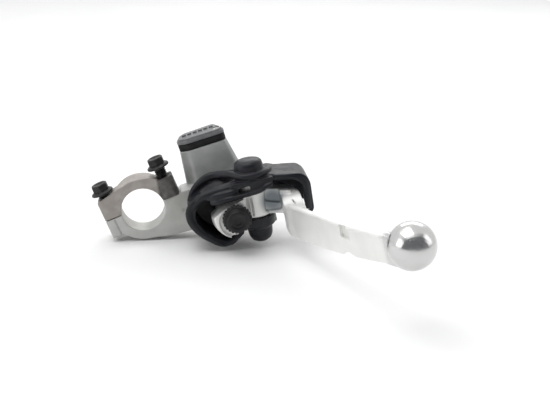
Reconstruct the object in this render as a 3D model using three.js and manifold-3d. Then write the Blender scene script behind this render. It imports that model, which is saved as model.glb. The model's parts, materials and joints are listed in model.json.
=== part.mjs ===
// Motorcycle hand lever with its master cylinder, bar clamp, fluid reservoir and rubber dust cover.
//
// Units are millimetres, +Z is up and +Y runs along the handlebar towards its middle.
// The origin is the centre of the handlebar bore, half way along the clamp.
// The unit lies as it rests on a table, so three groups share the Y axis and differ in roll:
// the clamp, the casting with its reservoir, and the lever with everything that works with it.

import * as THREE from 'three';
import { mergeVertices } from 'three/addons/utils/BufferGeometryUtils.js';
import Module from 'manifold-3d';

const wasm = await Module();
wasm.setup();

// ---------- driving dimensions ----------

const CLAMP_ROLL = 21.5;
const CASTING_ROLL = 16.5;
const LEVER_ROLL = 10.2;

const GAP = 0.3;
const SLIVER = 0.004;

const BAR_R = 11.1;
const CLAMP_R = 16;
const CLAMP_HALF_WIDTH = 6.5;
const CLAMP_BOLT_X = 15.6;
const CLAMP_BOLT_Y = -2.6;
const CLAMP_SHANK_R = 2.8;
const CLAMP_FLANGE_R = 5.7;
const CLAMP_FLANGE_Z = { left: 15.2, right: 16.7 };
const SPLIT_Z = { left: 1.4, right: 0.5 };
const SPLIT_GAP = 0.35;
const CAP_EAR_X = 19.9;
const RIGHT_BOSS_TOP_Z = 11.4;
const RIGHT_PAD_X = 21;
const EAR_BACK_Y = 1.4;

const RESERVOIR_BASE_Z = -0.5;
const RESERVOIR_RIM_Z = 20.3;
const RESERVOIR_FLARE = 0.26;
const RESERVOIR_CENTRE = [35.4, 7.5];
const RESERVOIR_WALL = 2.2;
const BAND_TOP_Z = 23.8;
const LID_TOP_Z = 26.6;

const PIVOT_X = 56.2;
const PIVOT_Y = -20;
const PIVOT_PIN_R = 3.5;
const BOSS_R = 8.2;
const BOSS_LOW_Z = -9.2;
const BOSS_HIGH_Z = 3.2;
const UPPER_EAR = { low: 4.5, high: 9, radius: 8.6 };
const LOWER_EAR = { low: -14.4, high: -10.5, radius: 7.8 };

const PISTON_X = 45.4;
const PISTON_Z = -6;
const CYLINDER_R = 9;
const CYLINDER_MOUTH_Y = -8;
const CYLINDER_END_Y = 36;
const CYLINDER_BORE_R = 5.5;
const PORT_R = 4.5;

const BARREL_Y = -22.3;
const BARREL_R = 4.2;
const BARREL_LOW_Z = -9.1;
const BARREL_HIGH_Z = -2.2;
const ROD_R = 2.1;
const KNOB_R = 7.2;
const KNOB_BACK_Y = -32;

const BLADE_ROOT = [68.4, -34];
const BALL = [109.9, -136.7, 3.5];
const BALL_R = 10.25;
const BLADE_THICK_ROOT = 8;
const BLADE_THICK_TIP = 6.4;

const BOOT_WALL = 2.2;
const BOOT_MOUTH_Y = -27;
const BOOT_BACK_Y = -6.9;

const radians = THREE.MathUtils.degToRad;

// ---------- closed solids and booleans ----------

function solid(geometry) {
  const bare = geometry.index ? geometry.toNonIndexed() : geometry.clone();
  bare.deleteAttribute('normal');
  bare.deleteAttribute('uv');
  const merged = mergeVertices(bare, 1e-4);
  const mesh = new wasm.Mesh({
    numProp: 3,
    vertProperties: new Float32Array(merged.attributes.position.array),
    triVerts: new Uint32Array(merged.index.array),
  });
  return new wasm.Manifold(mesh);
}

// Closes up slivers shorter than SLIVER before the shape becomes a mesh.
function surface(shape) {
  const mesh = shape.simplify(SLIVER).getMesh();
  const geometry = new THREE.BufferGeometry();
  geometry.setAttribute('position', new THREE.BufferAttribute(mesh.vertProperties, 3));
  geometry.setIndex(new THREE.BufferAttribute(mesh.triVerts, 1));
  return geometry;
}

const join = (first, ...rest) => rest.reduce((sum, next) => sum.add(next), first);
const cut = (first, ...rest) => rest.reduce((left, next) => left.subtract(next), first);

// ---------- basic shapes ----------

// A closed outline through the given corners. A third number rounds that corner.
function outline(corners) {
  const shape = new THREE.Shape();
  const count = corners.length;
  corners.forEach(([x, y, round = 0], i) => {
    const before = corners[(i + count - 1) % count];
    const after = corners[(i + 1) % count];
    const here = new THREE.Vector2(x, y);
    const back = new THREE.Vector2(before[0], before[1]).sub(here);
    const ahead = new THREE.Vector2(after[0], after[1]).sub(here);
    const reach = Math.min(round, back.length() * 0.49, ahead.length() * 0.49);
    const start = back.setLength(reach).add(here);
    const end = ahead.setLength(reach).add(here);
    if (i === 0) {
      shape.moveTo(start.x, start.y);
    } else {
      shape.lineTo(start.x, start.y);
    }
    if (reach > 0) {
      shape.quadraticCurveTo(here.x, here.y, end.x, end.y);
    }
  });
  shape.closePath();
  return shape;
}

function extrude(shape, depth, segments = 4, steps = 1) {
  const options = { depth, steps, bevelEnabled: false, curveSegments: segments };
  return new THREE.ExtrudeGeometry(shape, options);
}

// An outline in X and Y, raised from one height to another.
function plate(corners, low, high, segments) {
  return solid(extrude(outline(corners), high - low, segments).translate(0, 0, low));
}

// An outline in X and Z, running from one Y to another.
function slab(corners, near, far, segments) {
  const geometry = extrude(outline(corners), far - near, segments);
  return solid(geometry.rotateX(Math.PI / 2).translate(0, far, 0));
}

function upright(x, y, radius, low, high, sides = 32) {
  const geometry = new THREE.CylinderGeometry(radius, radius, high - low, sides);
  return solid(geometry.rotateX(Math.PI / 2).translate(x, y, (low + high) / 2));
}

function lengthwise(x, z, radius, near, far, sides = 32) {
  const geometry = new THREE.CylinderGeometry(radius, radius, far - near, sides);
  return solid(geometry.translate(x, (near + far) / 2, z));
}

function box(low, high) {
  const size = high.map((value, i) => value - low[i]);
  const centre = high.map((value, i) => (value + low[i]) / 2);
  return solid(new THREE.BoxGeometry(...size).translate(...centre));
}

// A turned shape about Z from radius and height pairs that start and end on the axis.
function turned(profile, x, y, sides = 32) {
  const points = profile.map(([radius, height]) => new THREE.Vector2(radius, height));
  return solid(new THREE.LatheGeometry(points, sides).rotateX(Math.PI / 2).translate(x, y, 0));
}

// A turned shape about Y from radius and Y pairs, centred on the piston line.
function turnedLengthwise(profile, sides = 32) {
  const points = profile.map(([radius, y]) => new THREE.Vector2(radius, y));
  return solid(new THREE.LatheGeometry(points, sides).translate(PISTON_X, 0, PISTON_Z));
}

// The shape that the other roll group sees when both share the Y axis.
const rolled = (shape, degrees) => shape.rotate([0, -degrees, 0]);

function hexagon(x, y, acrossFlats, low, high) {
  const radius = acrossFlats / 2 / Math.cos(Math.PI / 6);
  return upright(x, y, radius, low, high, 6);
}

// ---------- clamp cap and its bolts, in the clamp's roll ----------

function clampCap() {
  const ring = lengthwise(0, 0, CLAMP_R, -CLAMP_HALF_WIDTH, CLAMP_HALF_WIDTH, 48);
  const leftEar = slab(
    [
      [-CAP_EAR_X, 0],
      [-CAP_EAR_X, 12.2, 0.8],
      [-11.9, 14.2, 3],
      [-5, 15.4],
      [-5, 0],
    ],
    -CLAMP_HALF_WIDTH,
    EAR_BACK_Y,
  );
  const rightRamp = slab(
    [[5, 0], [5, 15.3], [11, 13.6, 1], [14, 11], [14, 0]],
    -CLAMP_HALF_WIDTH,
    EAR_BACK_Y,
  );
  const rightBoss = plate(
    [
      [12.6, -8.3, 2.2],
      [20.4, -8.3, 3.2],
      [20.4, EAR_BACK_Y, 2],
      [11, EAR_BACK_Y],
      [11, -5],
    ],
    0,
    RIGHT_BOSS_TOP_Z,
    5,
  );
  const below = [
    box([-30, -10, -30], [0, 10, SPLIT_Z.left + SPLIT_GAP]),
    box([-1, -10, -30], [30, 10, SPLIT_Z.right + SPLIT_GAP]),
  ];
  const bore = lengthwise(0, 0, BAR_R, -10, 10, 48);
  const holes = [-1, 1].map((side) =>
    upright(side * CLAMP_BOLT_X, CLAMP_BOLT_Y, CLAMP_SHANK_R + 0.4, -5, 25, 20));
  return cut(join(ring, leftEar, rightRamp, rightBoss), ...below, bore, ...holes);
}

// A flanged hexagon bolt, not yet run down to the cap.
function clampBolt(x, flangeZ) {
  const at = (profile, sides) => turned(profile, x, CLAMP_BOLT_Y, sides);
  const shank = upright(x, CLAMP_BOLT_Y, CLAMP_SHANK_R, -7.5, flangeZ + 0.5, 20);
  const flange = at(
    [
      [0, flangeZ],
      [CLAMP_FLANGE_R, flangeZ],
      [CLAMP_FLANGE_R, flangeZ + 0.8],
      [4.4, flangeZ + 1.7],
      [0, flangeZ + 1.7],
    ],
    28,
  );
  const hex = hexagon(x, CLAMP_BOLT_Y, 7.7, flangeZ + 1, flangeZ + 5.2);
  const chamfer = at(
    [
      [0, flangeZ],
      [5.4, flangeZ],
      [5, flangeZ + 4.3],
      [3.9, flangeZ + 5.2],
      [0, flangeZ + 5.2],
    ],
    24,
  );
  const dimple = at(
    [
      [0, flangeZ + 4.5],
      [2.2, flangeZ + 4.7],
      [2.8, flangeZ + 6],
      [0, flangeZ + 6],
    ],
    16,
  );
  return cut(join(shank, flange, hex.intersect(chamfer)), dimple);
}

// ---------- reservoir, in the casting's roll ----------

const RESERVOIR_PLAN = [
  [26.4, 3.2, 1.2],
  [31, 0, 1.4],
  [50, 0, 2],
  [51.7, 2.6, 1.6],
  [47.4, 15.2, 2],
  [30.4, 13.6, 2],
  [27.6, 10.4, 2],
];

function insetPlan(amount) {
  const [cx, cy] = [39, 7.4];
  return RESERVOIR_PLAN.map(([x, y, round]) => {
    const reach = Math.hypot(x - cx, y - cy);
    const scale = (reach - amount) / reach;
    return [cx + (x - cx) * scale, cy + (y - cy) * scale, Math.max(round - amount / 2, 0.6)];
  });
}

// The reservoir's outline at the rim, spreading evenly towards its base.
function flared(corners, low, high) {
  const geometry = extrude(outline(corners), high - low, 5).translate(0, 0, low);
  const place = geometry.attributes.position;
  for (let i = 0; i < place.count; i += 1) {
    const drop = (RESERVOIR_RIM_Z - place.getZ(i)) / (RESERVOIR_RIM_Z - RESERVOIR_BASE_Z);
    const scale = 1 + RESERVOIR_FLARE * drop;
    place.setX(i, RESERVOIR_CENTRE[0] + (place.getX(i) - RESERVOIR_CENTRE[0]) * scale);
    place.setY(i, RESERVOIR_CENTRE[1] + (place.getY(i) - RESERVOIR_CENTRE[1]) * scale);
  }
  return solid(geometry);
}

function reservoirLid() {
  const body = plate(insetPlan(0), BAND_TOP_Z + GAP, LID_TOP_Z - 0.9, 5);
  const crown = plate(insetPlan(0.9), LID_TOP_Z - 1, LID_TOP_Z, 5);
  const pockets = [0, 1, 2, 3, 4, 5].map((i) => {
    const x = 29.9 + i * 2.9;
    const lean = i * 0.28;
    return box([x, 3.4 + lean, LID_TOP_Z - 0.7], [x + 2.1, 9.6 + lean, LID_TOP_Z + 1]);
  });
  const screwHole = upright(48, 4.6, 1.4, 20, 30, 16);
  const sink = upright(48, 4.6, 2.3, LID_TOP_Z - 1.4, 30, 20);
  return cut(join(body, crown), ...pockets, screwHole, sink);
}

function lidScrew() {
  const shank = upright(48, 4.6, 1.1, 14, LID_TOP_Z - 1, 14);
  const head = upright(48, 4.6, 2, LID_TOP_Z - 1.1, LID_TOP_Z - 0.3, 20);
  const slot = box([46.6, 4.2, LID_TOP_Z - 0.7], [49.4, 5, LID_TOP_Z + 1]);
  return cut(join(shank, head), slot);
}

// The rubber rim shows as a band under the lid, and the pleated middle hangs in the well.
function diaphragm() {
  const rim = plate(insetPlan(0.15), RESERVOIR_RIM_Z + GAP, BAND_TOP_Z, 5);
  const pleats = [0, 1, 2].map((i) => {
    const low = 12.2 + i * 2.8;
    const waist = plate(insetPlan(5.4), low + 1.2, low + 3, 2);
    return plate(insetPlan(4.3), low, low + 1.6, 2).add(waist);
  });
  const screwHole = upright(48, 4.6, 1.4, 10, 30, 16);
  const postRoom = upright(48, 4.6, 3.4, 8, RESERVOIR_RIM_Z + GAP, 20);
  const hollow = plate(insetPlan(7.2), 13.4, 30, 2);
  return cut(join(rim, ...pleats), hollow, screwHole, postRoom);
}

// ---------- casting: lower clamp half, arm, cylinder, reservoir walls and pivot ears ----------

function lowerClamp() {
  const ring = lengthwise(0, 0, CLAMP_R, -CLAMP_HALF_WIDTH, CLAMP_HALF_WIDTH, 56);
  const above = box([-30, -10, SPLIT_Z.left], [30, 10, 30]);
  const leftEar = slab(
    [
      [-CAP_EAR_X, SPLIT_Z.left],
      [-CAP_EAR_X, -8.2, 1],
      [-13.2, -8.9, 0.6],
      [-9, -13],
      [-9, SPLIT_Z.left],
    ],
    -CLAMP_HALF_WIDTH,
    CLAMP_HALF_WIDTH,
  );
  const raisedEdge = slab(
    [
      [-CAP_EAR_X, SPLIT_Z.left],
      [-CAP_EAR_X, -8.2, 1],
      [-15.4, -7.9],
      [-15.6, SPLIT_Z.left],
    ],
    -CLAMP_HALF_WIDTH - 0.6,
    0,
  );
  return cut(ring, above).add(leftEar).add(raisedEdge);
}

// The web between the clamp and the cylinder, drawn in the casting's roll.
function arm() {
  return slab(
    [
      [-6, -6],
      [9, 1.9],
      [21.3, 2.9],
      [26, 2.9],
      [40, 4.2],
      [52, 4],
      [53, -18, 6],
      [38, -21, 6],
      [22.7, -18.7],
      [9, -17.9],
      [-1, -15.8],
    ],
    -CLAMP_HALF_WIDTH,
    CLAMP_HALF_WIDTH,
    6,
  );
}

// One pivot ear in plan, grown by a clearance where the rubber fits round it.
function pivotEar({ low, high, radius }, grow = 0) {
  const disc = upright(PIVOT_X, PIVOT_Y, radius + grow, low, high, 40);
  const left = PIVOT_X - radius + 1.6 - grow;
  const right = PIVOT_X + radius + grow;
  const root = plate(
    [
      [left, PIVOT_Y],
      [right, PIVOT_Y],
      [right + 0.4, 4],
      [left, 4],
    ],
    low,
    high,
    4,
  );
  return disc.add(root);
}

function perchBody() {
  const toCasting = LEVER_ROLL - CASTING_ROLL;
  const clampTurn = CLAMP_ROLL - CASTING_ROLL;
  const clamp = rolled(lowerClamp(), clampTurn);
  const rightPad = rolled(box([5, -9, SPLIT_Z.right], [RIGHT_PAD_X, 9, 30]), clampTurn);
  const bore = rolled(lengthwise(0, 0, BAR_R, -20, 20, 56), clampTurn);
  const mouth = rolled(box([-BAR_R, -20, 0], [BAR_R, 20, 12]), clampTurn);
  const threads = [-1, 1].map((side) =>
    rolled(upright(side * CLAMP_BOLT_X, CLAMP_BOLT_Y, CLAMP_SHANK_R + GAP, -11, 6, 20), clampTurn));
  const web = cut(join(arm(), clamp), rightPad);

  const walls = flared(insetPlan(0), RESERVOIR_BASE_Z, RESERVOIR_RIM_Z);
  const well = flared(insetPlan(RESERVOIR_WALL), 3.5, RESERVOIR_RIM_Z + 1);
  const screwPost = upright(48, 4.6, 3, 3, RESERVOIR_RIM_Z, 20);
  const screwHole = upright(48, 4.6, 1.4, 12, 30, 16);

  const cylinder = lengthwise(PISTON_X, PISTON_Z, CYLINDER_R, CYLINDER_MOUTH_Y, CYLINDER_END_Y, 44);
  const portBoss = lengthwise(PISTON_X, PISTON_Z, CYLINDER_R + 0.8, 27, CYLINDER_END_Y, 6);
  const saddle = slab([[33, -8], [58, -8], [58, 8], [33, 8]], -2, 17);
  const backbone = slab(
    [[40, -15.2], [60, -15.2, 3], [64.8, -9], [64.8, 9, 2], [42, 9]],
    -6,
    CLAMP_HALF_WIDTH,
  );
  const core = join(cylinder, portBoss, saddle, backbone, pivotEar(UPPER_EAR), pivotEar(LOWER_EAR));
  const bores = [
    lengthwise(PISTON_X, PISTON_Z, CYLINDER_BORE_R, CYLINDER_MOUTH_Y - 1, 26, 40),
    lengthwise(PISTON_X, PISTON_Z, 2, 20, 40, 16),
    lengthwise(PISTON_X, PISTON_Z, PORT_R, 28, 40, 32),
    lengthwise(PISTON_X, PISTON_Z, CYLINDER_BORE_R + 1.2, -6.2, -4.8, 40),
    upright(PIVOT_X, PIVOT_Y, PIVOT_PIN_R + GAP, 0, 12, 28),
    upright(PIVOT_X, PIVOT_Y, 2.5 + GAP, -20, -5, 24),
  ];
  const feedHole = upright(40, 7.5, 1, -8, 6, 12);
  const outside = join(web, walls, rolled(core, toCasting));
  const hollow = cut(well, screwPost);
  const tools = bores.map((shape) => rolled(shape, toCasting));
  return cut(outside, hollow, bore, mouth, ...threads, screwHole, feedHole, ...tools);
}

// ---------- lever, in the lever's roll ----------

const bladeRun = new THREE.Vector2(BALL[0] - 4.6 - BLADE_ROOT[0], BALL[1] - BLADE_ROOT[1]);
const BLADE_LENGTH = bladeRun.length();
const BLADE_ANGLE = Math.atan2(bladeRun.y, bladeRun.x);

// Puts a shape drawn along the blade (X along it, Y across towards the front) in its place.
const alongBlade = (shape) =>
  shape.rotate([0, 0, THREE.MathUtils.radToDeg(BLADE_ANGLE)]).translate([...BLADE_ROOT, 0]);

function bladeSlab(corners, near, far, segments) {
  return alongBlade(slab(corners, near, far, segments));
}

// Rows along the blade: distance from its root, height of the upper edge, height of the lower edge.
const BLADE_ROWS = [
  [-2.2, -3.9, -16.6],
  [-0.8, -3.7, -18.5],
  [1.6, -3.4, -19.7],
  [5, -3, -20],
  [14, -2, -19.3],
  [34, -0.5, -17.4],
  [54, 0.6, -15],
  [66, 1.7, -13.2],
  [94, 5, -8.3],
  [BLADE_LENGTH, 6.6, -6.4],
];

// The blade's section: distance from the rear face, and drop from the upper edge or, where
// negative, rise from the lower edge. The finger side is rounded further than the rear.
const BLADE_SECTION = [
  [0, 0.8],
  [0.9, 0.2],
  [2.4, 0.1],
  [4, 0.8],
  [5.8, 2.3],
  [7.2, 4],
  [8, 6],
  [8, -5],
  [7.2, -3.2],
  [5.4, -1.4],
  [3.4, -0.4],
  [1.4, -0.1],
  [0, -0.6],
];

function bladeBody() {
  const section = new THREE.Shape(BLADE_SECTION.map(([across, drop]) => new THREE.Vector2(across, drop)));
  const steps = BLADE_ROWS.length - 1;
  const geometry = extrude(section, steps, 1, steps);
  const place = geometry.attributes.position;
  for (let i = 0; i < place.count; i += 1) {
    const [along, top, bottom] = BLADE_ROWS[Math.round(place.getZ(i))];
    const share = along / BLADE_LENGTH;
    const narrow = THREE.MathUtils.lerp(1, BLADE_THICK_TIP / BLADE_THICK_ROOT, Math.max(share, 0));
    const drop = place.getY(i);
    place.setXYZ(i, along, place.getX(i) * narrow, drop > 0 ? top - drop : bottom - drop);
  }
  return alongBlade(solid(geometry));
}

function blade() {
  const recess = bladeSlab(
    [
      [-6, -4.4],
      [5, -3.6],
      [19, -3],
      [39.5, -1.7],
      [54.7, -1],
      [66.5, 0.2],
      [95, 3.4, 1],
      [95, -14],
      [54, -22],
      [-6, -26],
    ],
    -1,
    0.9,
  );
  const pocket = bladeSlab(
    [
      [55.1, 0.1, 2.2],
      [63.6, 0.9, 2.2],
      [63.6, -5.6, 0.8],
      [55.1, -6.2, 0.8],
    ],
    -1,
    2.8,
    4,
  );
  const step = bladeSlab(
    [
      [54, -16],
      [66.4, -16],
      [66.4, -12.6, 0.5],
      [58, -12.2, 0.5],
    ],
    -1,
    12,
  );
  return cut(bladeBody(), recess, pocket, step);
}

// The neck swells from the blade into the ball. Rows are radius and distance from the root.
const NECK = [
  [0, 92],
  [2.6, 93],
  [3.1, 98],
  [4.2, 101.4],
  [5.9, 104.2],
  [7.7, 106.4],
  [0, 108],
];

function ballEnd() {
  const ball = new THREE.SphereGeometry(BALL_R, 36, 22);
  const sphere = solid(ball.translate(...BALL));
  const points = NECK.map(([radius, along]) => new THREE.Vector2(radius, along));
  const neck = solid(new THREE.LatheGeometry(points, 28).rotateZ(-Math.PI / 2).translate(0, 3.4, 3));
  return sphere.add(alongBlade(neck));
}

// The outboard end wraps round the adjuster knob as an open claw.
function claw() {
  const [front, back, floor] = [-30.6, -18.4, -27.2];
  const eye = turnedLengthwise(
    [
      [0, front],
      [10.6, front],
      [11.2, front + 0.7],
      [12.2, -25],
      [12.2, back],
      [0, back],
    ],
    48,
  );
  const face = slab(
    [
      [32, -16.2],
      [32, -6],
      [36.4, -3, 3],
      [41, -0.9, 3],
      [PISTON_X, 0.4],
      [47, 1.2],
      [50.5, 2.5],
      [50.5, -16.2],
    ],
    front - 1,
    back + 1,
    5,
  );
  const pocket = slab(
    [
      [44, -17.4],
      [39.4, -15, 3],
      [36.9, -11.4, 3],
      [36.5, -6.7, 3],
      [37.7, -3.9, 2.5],
      [41, -2.1, 2],
      [PISTON_X, -0.9],
      [60, -0.4],
      [60, -17.4],
    ],
    front - 1,
    floor,
    5,
  );
  const belly = slab(
    [[43.8, -18], [60, -18], [60, BOSS_LOW_Z], [46.5, BOSS_LOW_Z], [45.5, -12]],
    front - 2,
    -10,
  );
  return cut(eye.intersect(face), pocket, belly);
}

// The thick arm from the claw past the pivot towards the shoulder.
function headArm() {
  const plan = plate(
    [
      [47, -27],
      [56, -27],
      [60, -25, 2],
      [68, -27.5, 3],
      [74, -28],
      [76.4, -18, 5],
      [66, -13, 5],
      [PIVOT_X, PIVOT_Y + BOSS_R],
      [47, -18.6],
    ],
    -24,
    8,
    5,
  );
  const side = slab(
    [
      [46, 0.6],
      [53, BOSS_HIGH_Z - 0.4],
      [PIVOT_X, BOSS_HIGH_Z],
      [64, BOSS_HIGH_Z, 2],
      [76, 0.6],
      [76, -12, 2],
      [67, -9.6, 2],
      [60, BOSS_LOW_Z],
      [46, BOSS_LOW_Z],
    ],
    -42,
    -8,
    5,
  );
  return plan.intersect(side);
}

// The shoulder turns the arm into the blade and slopes down to it.
function shoulder() {
  const plan = plate(
    [
      [69, -27],
      [69, -35],
      [71.6, -42],
      [79.2, -40],
      [78.3, -26, 5],
      [75, -18, 4],
      [69, -22],
    ],
    -24,
    8,
    5,
  );
  const profile = new THREE.ExtrudeGeometry(
    outline([
      [-12, 1],
      [-24, 0.6, 3],
      [-30, -0.8, 3],
      [-35, -4.1, 3],
      [-44, -4.4],
      [-44, -18.2],
      [-36.5, -18.6, 4],
      [-29.2, -13, 3],
      [-12, -9],
    ]),
    { depth: 20, bevelEnabled: false, curveSegments: 5 },
  );
  const side = solid(profile.rotateX(Math.PI / 2).rotateZ(Math.PI / 2).translate(64, 0, 0));
  return plan.intersect(side);
}

// The forged hollow between the pivot boss and the shoulder.
function forgedHollow() {
  const upper = slab([[60.4, -2.4, 2], [68.6, -4.9, 1.5], [68.6, 6], [62, 6]], -40, -24.4);
  const lower = slab([[60, -7.4, 1.5], [68.6, -7.8, 1.5], [68.6, -1.5, 1], [60.6, -1, 1]], -40, -25.4);
  return upper.add(lower);
}

function lever() {
  const boss = upright(PIVOT_X, PIVOT_Y, BOSS_R, BOSS_LOW_Z, BOSS_HIGH_Z, 44);
  const head = cut(join(headArm(), boss, shoulder()), forgedHollow());
  const shell = join(claw(), head, blade(), ballEnd());
  const pinBore = upright(PIVOT_X, PIVOT_Y, PIVOT_PIN_R + 1.6 + GAP, -20, 10, 32);
  const barrelBore = upright(PISTON_X, BARREL_Y, BARREL_R + GAP, -20, BARREL_HIGH_Z + GAP, 32);
  const rodSlot = plate(
    [
      [PISTON_X - 5.6, -16],
      [PISTON_X - 2.8, BARREL_Y],
      [PISTON_X - 2.8, -31],
      [PISTON_X + 5.6, -31],
      [PISTON_X + 3.2, BARREL_Y],
      [PISTON_X + 3.2, -16],
    ],
    PISTON_Z - 2.8,
    PISTON_Z + 2.8,
  );
  const crease = box([53.6, -28, -8.4], [54.3, -26.4, 1.6]);
  const shoulderLine = plate([[73.6, -31.6], [74.2, -31.6], [78, -45.4], [77.4, -45.4]], -4.4, 3);
  return cut(shell, pinBore, barrelBore, rodSlot, crease, shoulderLine);
}

function leverBush() {
  const outer = upright(PIVOT_X, PIVOT_Y, PIVOT_PIN_R + 1.6, BOSS_LOW_Z, BOSS_HIGH_Z, 32);
  const inner = upright(PIVOT_X, PIVOT_Y, PIVOT_PIN_R + 0.25, -20, 10, 32);
  return outer.subtract(inner);
}

// ---------- pivot hardware ----------

function pivotBolt() {
  const seat = UPPER_EAR.high + GAP;
  const head = hexagon(PIVOT_X, PIVOT_Y, 8, seat, seat + 5);
  const flange = upright(PIVOT_X, PIVOT_Y, 5.2, seat, seat + 1.2, 28);
  const shoulder = upright(PIVOT_X, PIVOT_Y, PIVOT_PIN_R, LOWER_EAR.high + GAP, seat + 0.5, 28);
  const thread = upright(PIVOT_X, PIVOT_Y, 2.5, -20.6, LOWER_EAR.high + 1, 24);
  return join(head, flange, shoulder, thread);
}

function pivotNut() {
  const top = LOWER_EAR.low - GAP;
  const hex = hexagon(PIVOT_X, PIVOT_Y, 8, top - 4.6, top);
  const hole = upright(PIVOT_X, PIVOT_Y, 2.5 + GAP, -30, 0, 24);
  return hex.subtract(hole);
}

function thrustWasher(low) {
  const disc = upright(PIVOT_X, PIVOT_Y, 7, low, low + 0.6, 32);
  return disc.subtract(upright(PIVOT_X, PIVOT_Y, PIVOT_PIN_R + GAP, -30, 30, 28));
}

// ---------- adjuster ----------

function adjusterBarrel() {
  const body = upright(PISTON_X, BARREL_Y, BARREL_R, BARREL_LOW_Z, BARREL_HIGH_Z, 32);
  const bore = lengthwise(PISTON_X, PISTON_Z, ROD_R + GAP, -40, 0, 24);
  return cut(body, bore);
}

function pushRod() {
  return turnedLengthwise(
    [
      [0, -35.8],
      [ROD_R, -35.8],
      [ROD_R, -12],
      [2.6, -10.6],
      [2.6, -9.4],
      [1.8, -8],
      [0, -7.6],
    ],
    24,
  );
}

function adjusterKnob() {
  const back = KNOB_BACK_Y;
  const body = turnedLengthwise(
    [
      [0, back - 7],
      [4.6, back - 7],
      [5.5, back - 6.2],
      [5.5, back - 3.6],
      [6.9, back - 3.1],
      [KNOB_R, back - 2.6],
      [KNOB_R, back - 0.5],
      [6.8, back],
      [0, back],
    ],
    36,
  );
  const ribs = Array.from({ length: 22 }, (_, i) => {
    const angle = (i / 22) * Math.PI * 2;
    const x = PISTON_X + Math.cos(angle) * (KNOB_R + 0.15);
    const z = PISTON_Z + Math.sin(angle) * (KNOB_R + 0.15);
    return lengthwise(x, z, 0.55, back - 4, back + 1, 5);
  });
  const rodHole = lengthwise(PISTON_X, PISTON_Z, ROD_R + GAP, back - 5.4, back + 1, 24);
  const faceRecess = lengthwise(PISTON_X, PISTON_Z, 3.4, back - 8, back - 6.2, 6);
  return cut(body, ...ribs, rodHole, faceRecess);
}

// ---------- inside the cylinder ----------

function piston() {
  return turnedLengthwise(
    [
      [0, -6.6],
      [2, -7],
      [2.9, -8.8],
      [3.6, -8.8],
      [3.6, -4.6],
      [5.2, -4.6],
      [5.2, -2.6],
      [3.9, -2.6],
      [3.9, 0.4],
      [5.2, 0.4],
      [5.2, 1.4],
      [3, 1.4],
      [3, 7],
      [5.2, 7],
      [5.2, 8],
      [2.4, 8],
      [2.4, 10.4],
      [0, 10.4],
    ],
    28,
  );
}

function cupSeal(near, far, innerR) {
  return turnedLengthwise(
    [
      [innerR, near],
      [5.1, near],
      [5.2, far],
      [4.5, far],
      [4, near + 1],
      [innerR, near + 1],
      [innerR, near],
    ],
    28,
  );
}

function circlip() {
  const ring = turnedLengthwise(
    [
      [4.7, -6.1],
      [6.4, -6.1],
      [6.4, -5.3],
      [4.7, -5.3],
      [4.7, -6.1],
    ],
    36,
  );
  return ring.subtract(box([PISTON_X - 1.5, -8, PISTON_Z], [PISTON_X + 1.5, -4, PISTON_Z + 9]));
}

class Helix extends THREE.Curve {
  constructor(radius, near, far, turns) {
    super();
    Object.assign(this, { radius, near, far, turns });
  }

  getPoint(t, target = new THREE.Vector3()) {
    const angle = t * this.turns * Math.PI * 2;
    const x = PISTON_X + Math.cos(angle) * this.radius;
    const z = PISTON_Z + Math.sin(angle) * this.radius;
    return target.set(x, THREE.MathUtils.lerp(this.near, this.far, t), z);
  }
}

function returnSpring() {
  const wire = new THREE.Shape();
  wire.absarc(0, 0, 0.45, 0, Math.PI * 2);
  const path = new Helix(3.6, 12.3, 25, 5);
  const options = { steps: 70, curveSegments: 3, extrudePath: path, bevelEnabled: false };
  return solid(new THREE.ExtrudeGeometry(wire, options));
}

// The small bellows that keeps dirt out of the cylinder's mouth.
function pistonBellows() {
  return turnedLengthwise(
    [
      [2.9, -12.4],
      [3.7, -12.4],
      [3.9, -11.4],
      [4.9, -10.8],
      [3.9, -10],
      [4.9, -9.2],
      [4.3, -8.4],
      [5.2, -7.7],
      [5.2, -6.5],
      [4.4, -6.5],
      [3.9, -7.9],
      [4.1, -9.2],
      [3.2, -10],
      [4.1, -10.8],
      [3.2, -11.6],
      [2.9, -11.8],
      [2.9, -12.4],
    ],
    24,
  );
}

// ---------- rubber dust cover ----------

// The cover seen from its mouth: a loop round the cylinder, a roof over the pivot
// and a hood that folds down beyond the lever's shoulder.
const COVER_OUTSIDE = [
  [44.6, -17.2, 1.2],
  [43.6, -19.8, 2],
  [40.6, -21.5, 3],
  [36, -20.9, 4],
  [31, -18.2, 5],
  [25, -13.5, 6],
  [21.9, -4, 6],
  [23.6, 3.5, 5],
  [31, 9.2, 5],
  [40, 12.4, 6],
  [47, 11.7, 3],
  [66.5, 11.4, 2],
  [69, 10.2, 2],
  [81.6, 8.4, 4],
  [84.8, 4, 4],
  [84.4, -11.2, 2],
  [82.8, -13, 1.5],
  [81.2, -12.6, 1],
];
const COVER_INSIDE = [
  [82.6, -9],
  [82.4, 3.2, 3],
  [79.6, 5.4, 2],
  [66, 7.6, 3],
  [65.8, 9.4],
  [47, 9.4, 2],
  [40, 9.8, 5],
  [33, 6.6, 5],
  [27, 1.6, 4],
  [25, -4, 5],
  [28, -11, 5],
  [33.8, -16.6, 5],
  [40, -19, 3],
  [43, -17.1],
];

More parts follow.
